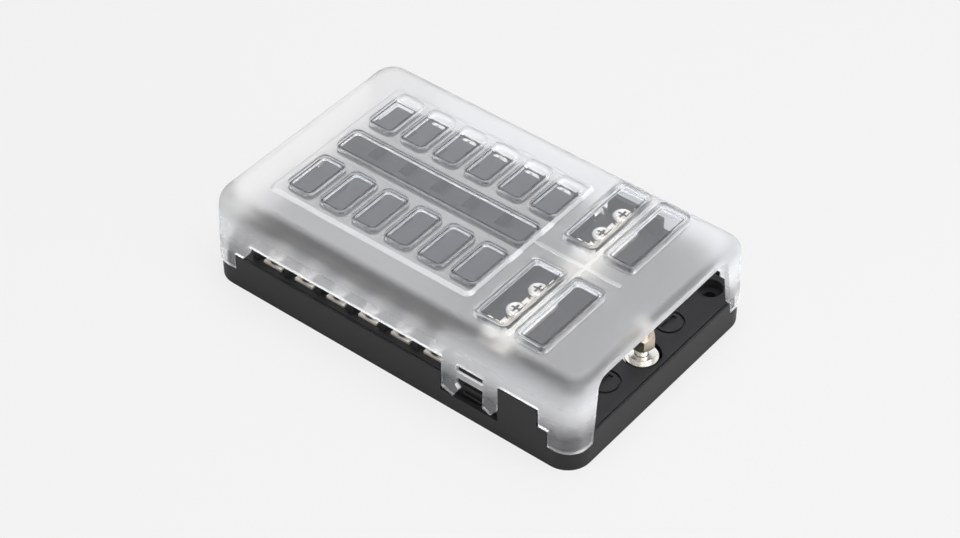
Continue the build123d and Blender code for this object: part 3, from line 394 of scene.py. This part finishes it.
def window_distance(finish):
    """How far a point is outside the nearest window."""
    x, y, _ = finish.place()
    span = WAYS * PITCH / 2
    along = x - ROW_CENTRE + span
    local = along.maths("MODULO", along, PITCH) - PITCH / 2
    beyond = (abs(x - ROW_CENTRE) - span).at_least(0) * 10
    ways = mirrored_window(local, y, WAY_WINDOW, WINDOW_R) + beyond
    ways = ways.at_least(y - REAR_FROST)
    strip = rounded(x - ROW_CENTRE, y, *STRIP_WINDOW, WINDOW_R)
    near_bus = mirrored_window(x - NEAR_BUS_X, y, NEAR_BUS_WINDOW, BUS_WINDOW_R)
    far_bus = mirrored_window(x - FAR_BUS_X, y, FAR_BUS_WINDOW, BUS_WINDOW_R)
    return ways.at_most(strip).at_most(near_bus).at_most(far_bus)


def ramp(value, start, end):
    """Runs from 0 to 1 while a value goes from start to end, in metres."""
    return ((value - start) * (1 / (end - start))).at_least(0).at_most(1)


def within(value, low, high):
    """1 while a value lies between low and high, and 0 elsewhere."""
    return (value > low) * (value < high)


def moulded_clear(finish, haze_and_painted_light, roughness, passed, painted_glow, normal=None):
    """Clear plastic with a milky share and an emission colour, both carrying painted light, open
    to shadow rays and where passed is 1.
    """
    x, _, z = finish.place()
    # Painted shade: the upper part of the left end, above about 26 mm and left of -40 mm, is
    # tinted darker.
    unshaded = ramp(x, -78 * MM, -40 * MM).at_least(1 - ramp(z, 26 * MM, 33 * MM))
    sockets = {
        "Base Color": finish.between(unshaded, CLEAR_PAINTED_SHADE, CLEAR_TINT),
        "Roughness": roughness,
        "Transmission Weight": 1.0,
        "IOR": 1.4,
        "Emission Color": painted_glow,
        "Emission Strength": 1.0,
    }
    if normal is not None:
        sockets["Normal"] = normal
    clear = finish.node("ShaderNodeBsdfPrincipled", {}, sockets)
    milk = finish.node("ShaderNodeBsdfDiffuse", {}, {"Color": MILK})
    body = mix_shaders(finish, haze_and_painted_light, clear, milk)
    shadow = finish.node("ShaderNodeLightPath", {}, {}, "Is Shadow Ray")
    open_way = finish.node("ShaderNodeBsdfTransparent", {}, {"Color": LET_THROUGH})
    return finish.surface(mix_shaders(finish, shadow.at_least(passed), body, open_way))


def hidden_wall(distance, x, z):
    """The windows' side walls and the underside round them, which the real moulding hides."""
    step = (x < PANEL_END - 0.3 * MM) * PANEL_STEP
    inside = within(distance, -1.4 * MM, -1.0 * MM) * (z < 40.3 * MM)
    under = within(distance, -1.4 * MM, 0.5 * MM) * (z < step + COVER_UNDERSIDE)
    outside = (abs(distance) < 0.08 * MM) * within(z, step + 38.9 * MM, 41.6 * MM)
    return inside.at_least(under).at_least(outside)


def frosted_plastic():
    finish = Finish("frosted cover")
    distance = window_distance(finish)
    x, y, z = finish.place()
    window = distance < 0.0
    frost = 1 - window

    # Painted light: the milky share is raised on the top flats (less towards the right), on the
    # raised panel's sides, on the lower wall and on the right-hand corner, and lowered on the
    # panel tops, so these parts read lighter or darker than the plain frosting.
    flat = ramp(z, 37.8 * MM, 38.7 * MM) * (0.22 - ramp(x, 0, 30 * MM) * 0.07)
    panel = ramp(z, PANEL_TOP, PANEL_TOP + 0.2 * MM) * 0.17
    slope = within(z, COVER_TOP, PANEL_TOP) * (x < PANEL_END)
    wall = ramp(z, 15 * MM, 22 * MM) * (1 - ramp(z, 28 * MM, 33 * MM))
    right = ramp(x, 22 * MM, 32 * MM)
    corner = right * ramp(z, 18 * MM, 27 * MM) * (1 - ramp(z, 33 * MM, 36 * MM))
    haze_and_painted_light = (flat - panel + slope * 0.3 + wall * 0.22 + corner * 0.2 + 0.03) * frost

    leg = 1 - ramp(z, 13 * MM, 17 * MM)
    roughness = frost * (FROST - wall * 0.18 - leg * 0.25) + window * POLISH
    grain = finish.noise(2600) * frost

    # Painted reflection: the polished windows are given a faint emission, less over the strip and
    # over the bus windows.
    over_strip = abs(y) < 7 * MM
    over_bus = x > 30 * MM
    painted_reflection = window * (1 - over_strip * 0.4) * (1 - over_bus * 0.5)
    # Painted highlight: the ribs on the cover's top are given a faint white emission.
    rib = within(z, COVER_TOP, RIB_TOP) * (x > PANEL_END + 0.2 * MM) * (distance > 0.3 * MM)
    painted_glow = finish.between(rib * 0.22, finish.between(painted_reflection, NO_LIGHT, WINDOW_PAINTED_REFLECTION), PAINTED_RIM_GLOW)
    passed = hidden_wall(distance, x, z)
    return moulded_clear(finish, haze_and_painted_light, roughness, passed, painted_glow, finish.rough_height(grain, 0.2))


# Painted highlight: the bevelled edges and rims, apart from those deeper than 0.5 mm inside the
# windows, are given a white emission and a milky share.
def painted_glow_edge():
    finish = Finish("painted glowing edges of the cover")
    distance = window_distance(finish)
    x, _, z = finish.place()
    rim = distance > -0.5 * MM
    passed = hidden_wall(distance, x, z) * (1 - rim)
    painted_glow = finish.between(rim, NO_LIGHT, PAINTED_RIM_GLOW)
    return moulded_clear(finish, rim * 0.4, rim * 0.3 + POLISH, passed, painted_glow)


# The cover's bevelled edges take the second material, with its painted white rims.
cover = eased_copy("cover", COVER_EDGE, PAINTED_GLOW_SLOT)
cover.data.materials.append(frosted_plastic())
cover.data.materials.append(painted_glow_edge())
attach(cover, "lid")
